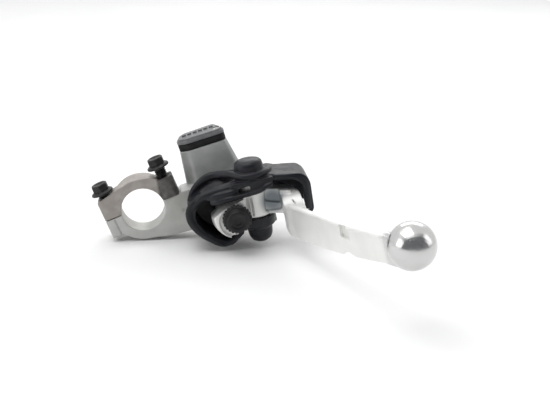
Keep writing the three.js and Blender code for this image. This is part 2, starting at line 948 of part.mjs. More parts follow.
function dustCover() {
  const wall = slab([...COVER_OUTSIDE, ...COVER_INSIDE], BOOT_MOUTH_Y, BOOT_BACK_Y, 5);
  const loopFill = COVER_OUTSIDE.slice(0, 12).concat([[66.5, -8], [60, -18], [50, -20]]);
  const back = slab(loopFill, BOOT_BACK_Y - BOOT_WALL, BOOT_BACK_Y, 5);
  const hoodBack = slab(
    [[64, 11, 1], [69, 10.2, 2], [81.6, 8.4, 4], [84.8, 4, 4], [84.4, -11.2, 2], [76, -10.5, 2], [64, -4]],
    BOOT_BACK_Y - BOOT_WALL,
    BOOT_BACK_Y,
    5,
  );
  const ridge = upright(PIVOT_X, PIVOT_Y, 9.6, UPPER_EAR.high + 0.4, 12.6, 44);
  const button = turned(
    [
      [0, 11],
      [7.2, 11],
      [7.2, 16.4],
      [6.4, 18],
      [4.6, 18.9],
      [0, 19.2],
    ],
    PIVOT_X,
    PIVOT_Y,
    40,
  );
  const skirt = slab(
    [
      [45.4, 10.6],
      [45.4, 4.4, 1],
      [59.4, 4.2, 2],
      [61.4, 7.6, 1],
      [66.5, 8.2, 0.4],
      [66.5, 10.6],
    ],
    -30.2,
    -24.6,
  );
  const lobe = lowerLobe();
  const headRoom = upright(PIVOT_X, PIVOT_Y, 5.6, UPPER_EAR.high - 1, 15, 32);
  const earRoom = pivotEar({ low: -3.5, high: UPPER_EAR.high + 0.4, radius: UPPER_EAR.radius }, 0.4);
  const window = slab([[48.8, 5.4, 0.8], [54.8, 6.2, 0.8], [54.8, 8.2, 0.8], [48.8, 7.6, 0.8]], -40, -22);
  const shell = join(wall, back, hoodBack, ridge, button, skirt, lobe);
  const cylinderRoom = lengthwise(PISTON_X, PISTON_Z, CYLINDER_R + 0.4, -12, 0, 44);
  const backboneRoom = box([47.5, BOOT_BACK_Y - 9, LOWER_EAR.low - 0.5], [65.4, 0, UPPER_EAR.high + 0.5]);
  return cut(shell, headRoom, earRoom, window, cylinderRoom, backboneRoom);
}

// The pocket that holds the lower ear and the pivot nut.
function lowerLobe() {
  const { low, high, radius } = LOWER_EAR;
  const lobe = turned(
    [
      [0, -24.3],
      [3, -24],
      [5, -22.6],
      [6, -20.4],
      [6.5, low - 2],
      [7.5, low - 1.4],
      [8.6, low - 0.5],
      [8.9, high - 1.6],
      [8.9, high + 0.8],
      [0, high + 0.8],
    ],
    PIVOT_X,
    PIVOT_Y,
    40,
  );
  const web = plate(
    [[47, -24], [65.4, -20], [65.4, BOOT_BACK_Y], [47, BOOT_BACK_Y]],
    low - 1.4,
    high - 0.6,
  );
  const nutRoom = upright(PIVOT_X, PIVOT_Y, 5, -20.9, -8, 28);
  const earRoom = pivotEar({ low: low - 0.4, high: high + 2, radius }, 0.4);
  const clawRoom = box([30, -40, low - 3], [47, 0, 0]);
  return cut(join(lobe, web), nutRoom, earRoom, clawRoom);
}

// ---------- assembly ----------

const FINISHES = {
  casting: { color: 0xa5a5a0, roughness: 0.55, metalness: 0.75 },
  cap: { color: 0x8a837c, roughness: 0.6, metalness: 0.7 },
  reservoir: { color: 0x9a9a98, roughness: 0.6, metalness: 0.3 },
  rubber: { color: 0x26262b, roughness: 0.75, metalness: 0 },
  blackSteel: { color: 0x202022, roughness: 0.5, metalness: 0.6 },
  polished: { color: 0xdcdcdc, roughness: 0.28, metalness: 0.95 },
  steel: { color: 0xb4b6b8, roughness: 0.35, metalness: 0.9 },
  bronze: { color: 0x9a7440, roughness: 0.45, metalness: 0.85 },
  anodised: { color: 0x1b1b1d, roughness: 0.45, metalness: 0.5 },
};

function part(name, shape, finish) {
  const mesh = new THREE.Mesh(surface(shape), new THREE.MeshStandardMaterial(FINISHES[finish]));
  mesh.name = name;
  return mesh;
}

function rollGroup(degrees, ...parts) {
  const group = new THREE.Group();
  group.rotation.y = -radians(degrees);
  group.add(...parts);
  return group;
}

const clampGroup = rollGroup(
  CLAMP_ROLL,
  part('clamp_cap', clampCap(), 'cap'),
  part('clamp_bolt_left', clampBolt(-CLAMP_BOLT_X, CLAMP_FLANGE_Z.left), 'blackSteel'),
  part('clamp_bolt_right', clampBolt(CLAMP_BOLT_X, CLAMP_FLANGE_Z.right), 'blackSteel'),
);

const castingGroup = rollGroup(
  CASTING_ROLL,
  part('perch_body', perchBody(), 'casting'),
  part('reservoir_lid', reservoirLid(), 'reservoir'),
  part('lid_screw', lidScrew(), 'blackSteel'),
  part('diaphragm', diaphragm(), 'rubber'),
);

const leverGroup = rollGroup(
  LEVER_ROLL,
  part('dust_cover', dustCover(), 'rubber'),
  part('lever', lever(), 'polished'),
  part('lever_bush', leverBush(), 'bronze'),
  part('pivot_bolt', pivotBolt(), 'steel'),
  part('pivot_nut', pivotNut(), 'steel'),
  part('thrust_washer_upper', thrustWasher(BOSS_HIGH_Z + 0.35), 'steel'),
  part('thrust_washer_lower', thrustWasher(BOSS_LOW_Z - 0.95), 'steel'),
  part('adjuster_barrel', adjusterBarrel(), 'bronze'),
  part('push_rod', pushRod(), 'steel'),
  part('adjuster_knob', adjusterKnob(), 'anodised'),
  part('piston', piston(), 'anodised'),
  part('primary_cup', cupSeal(8.3, 10.2, 2.7), 'rubber'),
  part('secondary_cup', cupSeal(-2.3, 0.1, 4.2), 'rubber'),
  part('return_spring', returnSpring(), 'steel'),
  part('circlip', circlip(), 'steel'),
  part('piston_bellows', pistonBellows(), 'rubber'),
);

const masterCylinder = new THREE.Group();
masterCylinder.add(clampGroup, castingGroup, leverGroup);

export default masterCylinder;
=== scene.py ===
"""Looks of the hand lever and master cylinder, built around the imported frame.

Lengths are millimetres in each rolled group until a piece is placed.
"""

import json
import math

import bmesh
import bpy
from mathutils import Matrix, Vector


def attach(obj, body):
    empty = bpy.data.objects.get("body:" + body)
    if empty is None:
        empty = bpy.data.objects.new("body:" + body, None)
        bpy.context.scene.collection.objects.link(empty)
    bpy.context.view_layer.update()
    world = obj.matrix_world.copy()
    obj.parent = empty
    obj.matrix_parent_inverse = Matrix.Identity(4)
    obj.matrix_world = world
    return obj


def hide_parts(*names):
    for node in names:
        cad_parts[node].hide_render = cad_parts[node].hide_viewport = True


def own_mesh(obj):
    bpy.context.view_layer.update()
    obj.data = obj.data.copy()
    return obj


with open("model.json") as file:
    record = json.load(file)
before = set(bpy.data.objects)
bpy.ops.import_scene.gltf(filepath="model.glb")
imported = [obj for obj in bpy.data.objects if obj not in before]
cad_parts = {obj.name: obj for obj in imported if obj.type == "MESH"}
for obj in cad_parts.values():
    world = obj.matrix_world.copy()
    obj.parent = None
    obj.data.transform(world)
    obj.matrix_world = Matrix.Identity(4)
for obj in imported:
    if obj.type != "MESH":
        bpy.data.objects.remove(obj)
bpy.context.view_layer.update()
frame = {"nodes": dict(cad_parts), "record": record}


MM = 0.001


def rolled(degrees):
    """The frame of a group that is rolled about the handlebar."""
    return Matrix.Rotation(math.radians(-degrees), 4, "Y")


CLAMP = rolled(21.5)
CASTING = rolled(16.5)
LEVER = rolled(10.2)

PIVOT = (56.2, -20.0)
PISTON = (45.4, -6.0)
BALL = (109.9, -136.7, 3.5)

BODY_OF = {node: body for body, nodes in frame["record"]["behaviour"]["bodies"].items() for node in nodes}


# ---------- meshes ----------


def to_object(name, bm, place):
    """A bmesh drawn in millimetres becomes an object in the shared frame."""
    bmesh.ops.recalc_face_normals(bm, faces=bm.faces)
    bmesh.ops.scale(bm, vec=(MM, MM, MM), verts=bm.verts)
    bmesh.ops.transform(bm, matrix=place, verts=bm.verts)
    mesh = bpy.data.meshes.new(name)
    bm.to_mesh(mesh)
    bm.free()
    made = bpy.data.objects.new(name, mesh)
    bpy.context.scene.collection.objects.link(made)
    return made


def skin(rings):
    """Joins rings of equal length by quads and caps both ends."""
    bm = bmesh.new()
    rows = [[bm.verts.new(p) for p in ring] for ring in rings]
    count = len(rows[0])
    for a, b in zip(rows, rows[1:]):
        for i in range(count):
            j = (i + 1) % count
            bm.faces.new((a[i], a[j], b[j], b[i]))
    bm.faces.new(rows[0])
    bm.faces.new(list(reversed(rows[-1])))
    return bm


def turned(levels, centre, sides, axis="Z"):
    """A turned shape. Each level is (radius or a function of the angle, height along the axis)."""
    rings = []
    for radius, height in levels:
        ring = []
        for k in range(sides):
            angle = 2 * math.pi * k / sides
            r = radius(angle) if callable(radius) else radius
            u, v = r * math.cos(angle), r * math.sin(angle)
            if axis == "Z":
                ring.append((centre[0] + u, centre[1] + v, height))
            else:
                ring.append((centre[0] + u, height, centre[1] + v))
        rings.append(ring)
    return skin(rings)


def smooth_path(points):
    """A Catmull-Rom curve through the points."""
    steps = 6
    pts = [Vector(p) for p in points]
    count = len(pts)
    out = []
    for i in range(count - 1):
        p1, p2 = pts[i], pts[i + 1]
        p0 = pts[i - 1] if i else p1 * 2 - p2
        p3 = pts[i + 2] if i + 2 < count else p2 * 2 - p1
        for k in range(steps):
            t = k / steps
            slope = (p2 - p0) * t
            bend = (2 * p0 - 5 * p1 + 4 * p2 - p3) * t**2
            swing = (3 * p1 - p0 - 3 * p2 + p3) * t**3
            out.append(0.5 * (2 * p1 + slope + bend + swing))
    return out + [pts[-1]]


def tube(path, radii, sides):
    """A round roll along a path that never runs straight along Y, with a radius for each point."""
    rings = []
    for i, here in enumerate(path):
        ahead = path[min(i + 1, len(path) - 1)]
        behind = path[max(i - 1, 0)]
        tangent = (ahead - behind).normalized()
        side = tangent.cross(Vector((0, 1, 0))).normalized()
        up = side.cross(tangent).normalized()
        r = radii[i]
        angles = [2 * math.pi * k / sides for k in range(sides)]
        rings.append([here + side * (r * math.cos(a)) + up * (r * math.sin(a)) for a in angles])
    return skin(rings)


def cad_copy(name, node):
    """A copy of a CAD node with its split corners joined again."""
    mesh = frame["nodes"][node].data.copy()
    mesh.name = name
    mesh.materials.clear()
    bm = bmesh.new()
    bm.from_mesh(mesh)
    bmesh.ops.remove_doubles(bm, verts=bm.verts, dist=1e-6)
    bm.to_mesh(mesh)
    bm.free()
    made = bpy.data.objects.new(name, mesh)
    bpy.context.scene.collection.objects.link(made)
    return made


def settle(obj):
    """Applies the modifiers of an object."""
    bpy.context.view_layer.update()
    done = bpy.data.meshes.new_from_object(obj.evaluated_get(bpy.context.evaluated_depsgraph_get()))
    obj.modifiers.clear()
    obj.data = done


def joined(name, objects):
    """One object that holds the meshes of several."""
    bm = bmesh.new()
    for piece in objects:
        bm.from_mesh(piece.data)
        bpy.data.objects.remove(piece)
    mesh = bpy.data.meshes.new(name)
    bm.to_mesh(mesh)
    bm.free()
    made = bpy.data.objects.new(name, mesh)
    bpy.context.scene.collection.objects.link(made)
    return made


def melt(obj, grain):
    """Adds an even fine mesh over all of an object's closed pieces, grain millimetres wide."""
    even = obj.modifiers.new("even", "REMESH")
    even.mode = "VOXEL"
    even.voxel_size = grain * MM


def moulded(name, objects, grain, passes, keep):
    """Melts overlapping closed pieces into one body whose edges are rounded, as cast or moulded.

    The smoothing passes round the edges, and keep is the share of the faces that stays.
    """
    body = joined(name, objects)
    melt(body, grain)
    soften = body.modifiers.new("soften", "SMOOTH")
    soften.factor = 0.5
    soften.iterations = passes
    thin = body.modifiers.new("thin", "DECIMATE")
    thin.ratio = keep
    settle(body)
    body.data.shade_smooth()
    return body


def eased(value, start, end):
    """0 before start, 1 after end, smooth between."""
    t = min(1.0, max(0.0, (value - start) / (end - start)))
    return t * t * (3 - 2 * t)


def sculpted(name, node, grain, move):
    """A finely meshed copy of a CAD node, its points moved by a rule in the lever's roll."""
    made = cad_copy(name, node)
    melt(made, grain)
    settle(made)
    home = LEVER.inverted()
    for vertex in made.data.vertices:
        x, y, z = home @ vertex.co / MM
        vertex.co = LEVER @ (Vector(move(x, y, z)) * MM)
    return made


# Degrees between faces: up to the first they are one flat, over the second their edge is broken.
FLAT_ANGLE = 0.6
EDGE_ANGLE = 28


def sharp_over(obj, degrees):
    """Shades an object smooth apart from its sharper edges."""
    obj.data.shade_smooth()
    obj.data.set_sharp_from_angle(angle=math.radians(degrees))


def machined(name, node, bevel):
    """A copy of a CAD node with flats joined and its sharp edges broken."""
    made = cad_copy(name, node)
    bm = bmesh.new()
    bm.from_mesh(made.data)
    bmesh.ops.dissolve_limit(bm, angle_limit=math.radians(FLAT_ANGLE), verts=bm.verts, edges=bm.edges)
    bm.to_mesh(made.data)
    bm.free()
    edge = made.modifiers.new("edge", "BEVEL")
    edge.width = bevel * MM
    edge.segments = 2
    edge.limit_method = "ANGLE"
    edge.angle_limit = math.radians(EDGE_ANGLE)
    settle(made)
    sharp_over(made, EDGE_ANGLE + 8)
    return made


def stands_for(obj, node, material):
    """The piece takes the node's body, finish and place, and the node is hidden."""
    obj.data.materials.clear()
    obj.data.materials.append(material)
    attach(obj, BODY_OF[node])
    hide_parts(node)
    return obj


# ---------- materials ----------


class Look:
    """A procedural material. Its patterns lie in the shared frame, in metres, and move with the piece."""

    def __init__(self, name, **principled):
        self.material = bpy.data.materials.new(name)
        self.material.use_nodes = True
        self.tree = self.material.node_tree
        self.shader = next(n for n in self.tree.nodes if n.type == "BSDF_PRINCIPLED")
        self.coords = self.tree.nodes.new("ShaderNodeTexCoord").outputs["Object"]
        self.height = None
        for key, value in principled.items():
            self.put(key.replace("_", " "), value)

    def put(self, socket, value):
        """Sets or links one input of the surface."""
        target = self.shader.inputs[socket]
        if isinstance(value, bpy.types.NodeSocket):
            self.tree.links.new(value, target)
        else:
            target.default_value = value

    def noise(self, size, detail, rough=0.5, stretch=None, distort=0.0):
        """Noise with features of about size millimetres, drawn out where stretch is under 1."""
        coords = self.coords
        if stretch:
            spread = self.tree.nodes.new("ShaderNodeMapping")
            self.tree.links.new(coords, spread.inputs["Vector"])
            spread.inputs["Scale"].default_value = stretch
            coords = spread.outputs["Vector"]
        made = self.tree.nodes.new("ShaderNodeTexNoise")
        self.tree.links.new(coords, made.inputs["Vector"])
        made.inputs["Scale"].default_value = 1 / (size * MM)
        made.inputs["Detail"].default_value = detail
        made.inputs["Roughness"].default_value = rough
        made.inputs["Distortion"].default_value = distort
        return made.outputs[0]

    def mottle(self, size, detail, start=0.0, end=1.0):
        """Soft patches of about size millimetres, from start to end."""
        return self.ramp(self.noise(size, detail), 0.3, 0.7, start, end)

    def ramp(self, value, low, high, start=0.0, end=1.0):
        """Value from low to high, spread from start to end and clamped."""
        made = self.tree.nodes.new("ShaderNodeMapRange")
        made.interpolation_type = "SMOOTHSTEP"
        self.tree.links.new(value, made.inputs["Value"])
        for key, v in (("From Min", low), ("From Max", high), ("To Min", start), ("To Max", end)):
            made.inputs[key].default_value = v
        return made.outputs[0]

    def maths(self, operation, a, b):
        """The sum, product or larger of two values, by the name of the operation."""
        made = self.tree.nodes.new("ShaderNodeMath")
        made.operation = operation
        for i, v in enumerate((a, b)):
            if isinstance(v, bpy.types.NodeSocket):
                self.tree.links.new(v, made.inputs[i])
            else:
                made.inputs[i].default_value = v
        return made.outputs[0]

    def blend(self, share, a, b):
        """Colour a turning into colour b as share goes from 0 to 1."""
        made = self.tree.nodes.new("ShaderNodeMix")
        made.data_type = "RGBA"
        for socket, v in ((made.inputs[0], share), (made.inputs[6], a), (made.inputs[7], b)):
            if isinstance(v, bpy.types.NodeSocket):
                self.tree.links.new(v, socket)
            else:
                socket.default_value = v if isinstance(v, float) else (*v, 1.0)
        return made.outputs[2]

    def near(self, place, point, reach, core=0.0):
        """1 within core of a point of a rolled group, falling to 0 at reach, in millimetres."""
        away = self.tree.nodes.new("ShaderNodeVectorMath")
        away.operation = "DISTANCE"
        self.tree.links.new(self.coords, away.inputs[0])
        away.inputs[1].default_value = place @ (Vector(point) * MM)
        return self.ramp(away.outputs["Value"], core * MM, reach * MM, 1.0, 0.0)

    def axis(self, place, direction):
        """The distance along a direction of a rolled group, in metres."""
        line = place.to_3x3() @ Vector(direction)
        made = self.tree.nodes.new("ShaderNodeVectorMath")
        made.operation = "DOT_PRODUCT"
        self.tree.links.new(self.coords, made.inputs[0])
        made.inputs[1].default_value = line
        return made.outputs["Value"]

    def times(self, a, b):
        """The product of two values."""
        return self.maths("MULTIPLY", a, b)

    def bend(self, low, high):
        """0 at low and 1 at high of how far the surface bends: over 0.5 on edges, under it in corners."""
        geometry = self.tree.nodes.new("ShaderNodeNewGeometry")
        return self.ramp(geometry.outputs["Pointiness"], low, high)

    def bump(self, height, depth, strength):
        """Adds relief of depth millimetres."""
        made = self.tree.nodes.new("ShaderNodeBump")
        made.inputs["Strength"].default_value = strength
        made.inputs["Distance"].default_value = depth * MM
        self.tree.links.new(height, made.inputs["Height"])
        if self.height is not None:
            self.tree.links.new(self.height, made.inputs["Normal"])
        self.height = made.outputs["Normal"]
        self.put("Normal", self.height)


def cast_look():
    """Sand-blasted casting: paler at the clamp, a darker grey on the reservoir that is partly its coat and
    partly painted shade, and painted shade in creases.
    """
    look = Look("cast_alloy", Metallic=0.35)
    clean = look.blend(look.mottle(9, 4), (0.50, 0.50, 0.48), (0.60, 0.60, 0.575))
    grain = look.blend(look.ramp(look.noise(0.7, 2), 0.35, 0.75, 0.0, 0.5), clean, (0.54, 0.54, 0.52))
    low_stain = look.near(CASTING, (26.5, -6.5, -5), 4.5)
    side_stain = look.near(CASTING, (20, -6.5, -7.5), 3)
    stain_area = look.maths("MAXIMUM", low_stain, side_stain)
    stain = look.times(stain_area, look.ramp(look.noise(1.8, 5, 0.7), 0.42, 0.62))
    dirty = look.blend(look.times(stain, 0.8), grain, (0.09, 0.085, 0.07))
    film = look.ramp(look.noise(14, 3), 0.5, 0.75, 0.0, 0.35)
    filmed = look.blend(film, dirty, (0.42, 0.405, 0.365))
    # The reservoir is darker grey: partly its coat, partly painted shade standing for the dimmer reflection
    # on its front.
    up = look.axis(CASTING, (0, 0, 1))
    right = look.axis(CASTING, (1, 0, 0))
    tank = look.times(look.ramp(up, 0.0025, 0.0035), look.ramp(right, 0.022, 0.024))
    tank_grey_and_shade = look.blend(look.mottle(6, 3), (0.38, 0.39, 0.38), (0.46, 0.47, 0.46))
    coat = look.blend(tank, filmed, tank_grey_and_shade)
    # Painted shade: darker in creases and corners, where the surface bends inward.
    crease_shade = look.times(look.bend(0.49, 0.42), 0.55)
    look.put("Base Color", look.blend(crease_shade, coat, (0.08, 0.078, 0.07)))
    look.put("Roughness", look.mottle(3, 3, 0.42, 0.55))
    look.bump(look.noise(0.55, 3, 0.6), 0.03, 0.4)
    look.bump(look.noise(5, 2), 0.1, 0.25)
    return look.material


def cap_look():
    """Brown-grey coat on the clamp cap, with painted shade darkening it round the right boss."""
    look = Look("cap_alloy", Metallic=0.2)
    base = look.blend(look.mottle(6, 4), (0.33, 0.30, 0.275), (0.42, 0.39, 0.36))
    specks = look.ramp(look.noise(0.9, 4, 0.7), 0.62, 0.75)
    speckled = look.blend(look.times(specks, 0.35), base, (0.10, 0.09, 0.08))
    # Painted shade: the right boss, which faces down and away, is darkened in patches.
    boss = look.ramp(look.axis(CLAMP, (1, 0, -0.25)), 0.0085, 0.0105)
    patchy_boss_shade = look.times(boss, look.ramp(look.noise(5, 3), 0.25, 0.75, 0.7, 1.0))
    look.put("Base Color", look.blend(patchy_boss_shade, speckled, (0.06, 0.058, 0.055)))
    look.put("Roughness", look.mottle(2.5, 3, 0.42, 0.58))
    look.bump(look.noise(0.6, 3, 0.6), 0.04, 0.45)
    look.bump(look.noise(4, 2), 0.1, 0.3)
    return look.material


def lever_look():
    """A satin blade, a polished ball with pits below, a forged hollow with painted blue-grey shade and
    reflection, and painted shade in creases.
    """
    look = Look("polished_alloy")
    ball = look.near(LEVER, BALL, 21, core=13.5)
    satin = look.blend(look.mottle(14, 3), (0.82, 0.82, 0.80), (0.88, 0.88, 0.86))
    bright = look.blend(ball, satin, (0.62, 0.62, 0.615))
    scuffs = look.ramp(look.noise(2.4, 6, 0.65, distort=0.6), 0.62, 0.74)
    scuffed = look.blend(look.times(scuffs, 0.16), bright, (0.50, 0.49, 0.47))
    # Painted shade and reflection: the forged hollow is darkened to a blue-grey.
    hollow = look.near(LEVER, (64.6, -26, -2.5), 9, core=3)
    hollow_shaded = look.blend(look.times(hollow, 0.9), scuffed, (0.17, 0.20, 0.225))
    tip = look.near(LEVER, BALL, 17, core=8)
    low = look.ramp(look.axis(LEVER, (0, 0, 1)), 0.004, -0.004)
    pits = look.times(look.times(tip, low), look.ramp(look.noise(1.1, 5, 0.75), 0.54, 0.64))
    pitted = look.blend(look.times(pits, 0.6), hollow_shaded, (0.2, 0.19, 0.18))
    # Painted shade: darker in creases and corners, where the surface bends inward.
    crease_shade = look.times(look.bend(0.485, 0.42), 0.75)
    look.put("Base Color", look.blend(crease_shade, pitted, (0.10, 0.10, 0.10)))
    look.put("Metallic", look.ramp(ball, 0.0, 1.0, 0.35, 0.95))
    rough = look.maths("ADD", look.mottle(6, 4, 0.4, 0.5), look.times(ball, -0.24))
    look.put("Roughness", look.maths("ADD", rough, look.times(scuffs, 0.1)))
    look.bump(look.noise(0.4, 2, 0.6, stretch=(1, 0.08, 1)), 0.004, 0.15)
    look.bump(look.noise(9, 2), 0.04, 0.15)
    look.bump(pits, 0.05, -0.4)
    return look.material


def black_steel_look():
    """Dark oily screws."""
    look = Look("black_steel", Metallic=0.35)
    bare = look.times(look.bend(0.54, 0.64), look.ramp(look.noise(1.5, 4), 0.45, 0.7))
    base = look.blend(look.ramp(look.noise(2.5, 4), 0.35, 0.7), (0.010, 0.010, 0.010), (0.024, 0.022, 0.021))
    look.put("Base Color", look.blend(look.times(bare, 0.35), base, (0.10, 0.095, 0.09)))
    look.put("Roughness", look.mottle(1.2, 3, 0.36, 0.55))
    look.bump(look.noise(0.5, 3), 0.02, 0.35)
    return look.material


def plated_look():
    """Zinc-plated steel."""
    look = Look("plated_steel", Metallic=1.0)
    look.put("Base Color", look.blend(look.mottle(4, 3), (0.50, 0.50, 0.48), (0.64, 0.63, 0.60)))
    look.put("Roughness", look.mottle(1.5, 3, 0.22, 0.38))
    look.bump(look.noise(0.4, 2), 0.01, 0.3)
    return look.material


def metal_look(name, dark, light, rough):
    """Bare turned metal, patchy from dark to light."""
    look = Look(name, Metallic=0.9)
    look.put("Base Color", look.blend(look.mottle(3, 3), dark, light))
    look.put("Roughness", look.mottle(1.5, 3, rough - 0.08, rough + 0.08))
    look.bump(look.noise(0.4, 2), 0.01, 0.3)
    return look.material


def rubber_look(name, dark, light, rough):
    """Rubber with a slight dusty bloom on raised edges."""
    look = Look(name, Metallic=0.0, Specular_IOR_Level=0.3)
    base = look.blend(look.mottle(7, 4), dark, light)
    dust = look.times(look.bend(0.52, 0.62), look.ramp(look.noise(3, 4), 0.35, 0.7))
    look.put("Base Color", look.blend(look.times(dust, 0.3), base, tuple(3 * v for v in light)))
    look.put("Roughness", look.mottle(4, 3, rough - 0.06, rough + 0.1))
    look.bump(look.noise(0.4, 2), 0.02, 0.3)
    look.bump(look.noise(6, 2), 0.12, 0.3)
    return look.material


def plastic_look(name, dark, light, rough):
    """Hard plastic whose edges are rubbed pale."""
    look = Look(name, Metallic=0.0, Specular_IOR_Level=0.34)
    base = look.blend(look.mottle(4, 4), dark, light)
    rubbed = look.times(look.bend(0.53, 0.62), look.ramp(look.noise(1.5, 4), 0.35, 0.7))
    look.put("Base Color", look.blend(look.times(rubbed, 0.4), base, tuple(1.9 * v for v in light)))
    look.put("Roughness", look.mottle(2, 3, rough - 0.06, rough + 0.1))
    look.bump(look.noise(0.4, 3), 0.02, 0.35)
    return look.material


CAST = cast_look()
CAP = cap_look()
POLISHED = lever_look()
BLACK_STEEL = black_steel_look()
PLATED = plated_look()
BRONZE = metal_look("bush_bronze", (0.42, 0.30, 0.14), (0.52, 0.38, 0.2), 0.4)
PISTON_LOOK = metal_look("piston_alloy", (0.44, 0.42, 0.34), (0.56, 0.54, 0.46), 0.35)
COVER = rubber_look("cover_rubber", (0.0085, 0.0095, 0.0125), (0.014, 0.015, 0.0195), 0.38)
SEAL = rubber_look("seal_rubber", (0.006, 0.006, 0.007), (0.011, 0.011, 0.012), 0.5)
LID = plastic_look("lid_plastic", (0.15, 0.154, 0.158), (0.2, 0.205, 0.21), 0.45)
KNOB = plastic_look("knob_plastic", (0.006, 0.006, 0.007), (0.011, 0.011, 0.0125), 0.4)


# ---------- clamp bolts ----------


def sharp_hexagon(flat, angle):
    """The radius of a sharp hexagon at an angle, flat being the distance from its axis to a side."""
    off = (angle + math.pi / 6) % (math.pi / 3) - math.pi / 6
    return flat / math.cos(off)


def hexagon(across_flats):
    """The radius of a hexagon with softened corners, by angle."""
    flat = across_flats / 2
    corner = 1.125 * flat
    return lambda angle: min(sharp_hexagon(flat, angle), corner)


def capped(shape, limit):
    """The outline, cut round where it goes past a radius."""
    return lambda angle: min(shape(angle), limit)


def screw_thread(major, minor, pitch, low, high):
    """Levels of a rolled thread between two heights, fading out at both ends."""
    rows_per_turn = 10
    levels = []
    rows = int((high - low) / pitch * rows_per_turn)
    for i in range(rows + 1):
        height = low + (high - low) * i / rows

        def radius(angle, height=height):
            turn = (height / pitch - angle / (2 * math.pi)) % 1.0
            tooth = min(1.0, max(0.0, 2.6 * abs(turn - 0.5) - 0.15))
            fade = min(1.0, (height - low) / 0.8 + 0.2, (high - height) / 0.6 + 0.05)
            return minor + (major - minor) * tooth * max(0.0, fade)

        levels.append((radius, height))
    return levels


BOLT_X = 15.6
BOLT_Y = -2.6


def clamp_bolt(name, x, seat):
    """A flanged hexagon bolt with its thread, seat being the flange's underside."""
    head = hexagon(7.7)
    levels = [(1.9, -7.5), (2.5, -7.1)]
    levels += screw_thread(2.95, 2.5, 1.0, -7.0, seat - 0.9)
    shank = [(2.5, -0.7), (2.6, -0.15), (3.3, 0)]
    flange = [(5.3, 0), (5.66, 0.12), (5.72, 0.4), (5.6, 0.85), (5.2, 1.15), (4.75, 1.4), (4.45, 1.62)]
    flats = [(capped(head, 4.35), 1.66), (head, 1.85), (head, 4.1)]
    flats += [(capped(head, 4.25), 4.55), (capped(head, 4.0), 4.95)]
    crown = [(3.75, 5.15), (3.45, 5.2), (2.9, 5.18), (2.65, 4.98), (1.9, 4.72), (0.6, 4.62)]
    levels += [(radius, seat + height) for radius, height in shank + flange + flats + crown]
    bolt = to_object(name, turned(levels, (x, BOLT_Y), 72), CLAMP)
    sharp_over(bolt, 32)
    return bolt


for node, x, seat in (("clamp_bolt_left", -BOLT_X, 15.2), ("clamp_bolt_right", BOLT_X, 16.7)):
    stands_for(clamp_bolt(node + "_shape", x, seat), node, BLACK_STEEL)


# ---------- castings ----------

stands_for(moulded("clamp_cap_shape", [cad_copy("cap", "clamp_cap")], 0.24, 5, 0.5), "clamp_cap", CAP)
stands_for(moulded("perch_body_shape", [cad_copy("perch", "perch_body")], 0.3, 5, 0.5), "perch_body", CAST)


# ---------- reservoir lid ----------

stands_for(machined("reservoir_lid_shape", "reservoir_lid", 0.22), "reservoir_lid", LID)
stands_for(machined("diaphragm_shape", "diaphragm", 0.2), "diaphragm", SEAL)


# ---------- dust cover ----------

# The rolls that stiffen the cover: the points of each path, and the roll's radius there. The collar's
# lip lies in the plane of the mouth, so its points are X and Z only.
MOUTH_Y = -26.4
COLLAR_LIP = [
    (47.4, -15.6, 0.9),
    (44.4, -17.6, 1.1),
    (40.6, -19.6, 1.3),
    (36.6, -20.0, 1.4),
    (32.8, -18.0, 1.5),
    (29.6, -14.8, 1.7),
    (25.4, -10.2, 1.9),
    (22.9, -5.0, 1.9),
    (22.7, -0.4, 1.7),
    (24.6, 3.2, 1.5),
    (30.4, 7.0, 1.4),
    (39.6, 9.6, 1.2),
    (46, 10.4, 1.0),
]
BROW = [
    (24.6, -26.4, 1.6, 1.2),
    (29.2, -27.0, 5.6, 1.7),
    (34.8, -27.4, 7.4, 2.0),
    (41.0, -27.8, 8.2, 1.9),
    (46.6, -28.2, 8.9, 1.6),
    (53.0, -28.2, 9.3, 1.3),
    (60.5, -28.0, 9.7, 1.2),
    (67.5, -27.0, 9.4, 1.2),
    (75.0, -26.6, 7.9, 1.2),
    (80.2, -26.4, 5.4, 1.6),
    (82.0, -26.4, 2.4, 1.9),
    (82.0, -26.4, -3.0, 2.0),
    (81.7, -26.2, -10.4, 1.7),
]
RIDGE = [
    (23.6, -17.0, 3.0, 0.8),
    (27.4, -17.4, 8.6, 1.5),
    (33.4, -17.6, 12.6, 2.1),
    (40.0, -18.8, 13.8, 2.2),
    (46.0, -22.6, 13.9, 2.0),
    (52.0, -28.0, 12.8, 1.6),
    (58.0, -28.8, 12.6, 1.6),
    (62.6, -26.4, 12.5, 1.6),
    (65.6, -21.4, 12.1, 1.4),
    (66.8, -15.0, 11.6, 1.0),
]
TAB = [
    (34.6, -28.6, 3.4, 1.6),
    (38.4, -30.4, 3.7, 1.7),
    (43.0, -31.0, 4.0, 1.6),
    (48.0, -31.2, 4.2, 1.2),
    (54.0, -31.2, 4.5, 1.1),
    (59.4, -30.8, 5.0, 1.1),
    (62.4, -30.4, 6.4, 1.3),
    (66.0, -29.8, 7.2, 1.4),
]
TAB_ROOT = [
    (32.8, -27.4, 5.6, 1.6),
    (38.0, -29.4, 6.2, 1.8),
    (44.4, -30.0, 6.8, 1.6),
    (47.6, -29.6, 7.2, 1.2),
]

# The turned button: radius and height.
BUTTON = [
    (0.6, 11.4),
    (9.2, 11.6),
    (8.6, 12.6),
    (7.7, 13.4),
    (7.3, 14.5),
    (7.2, 16.4),
    (6.9, 17.6),
    (6.0, 18.5),
    (4.2, 19.1),
    (2.0, 19.35),
    (0.4, 19.4),
]


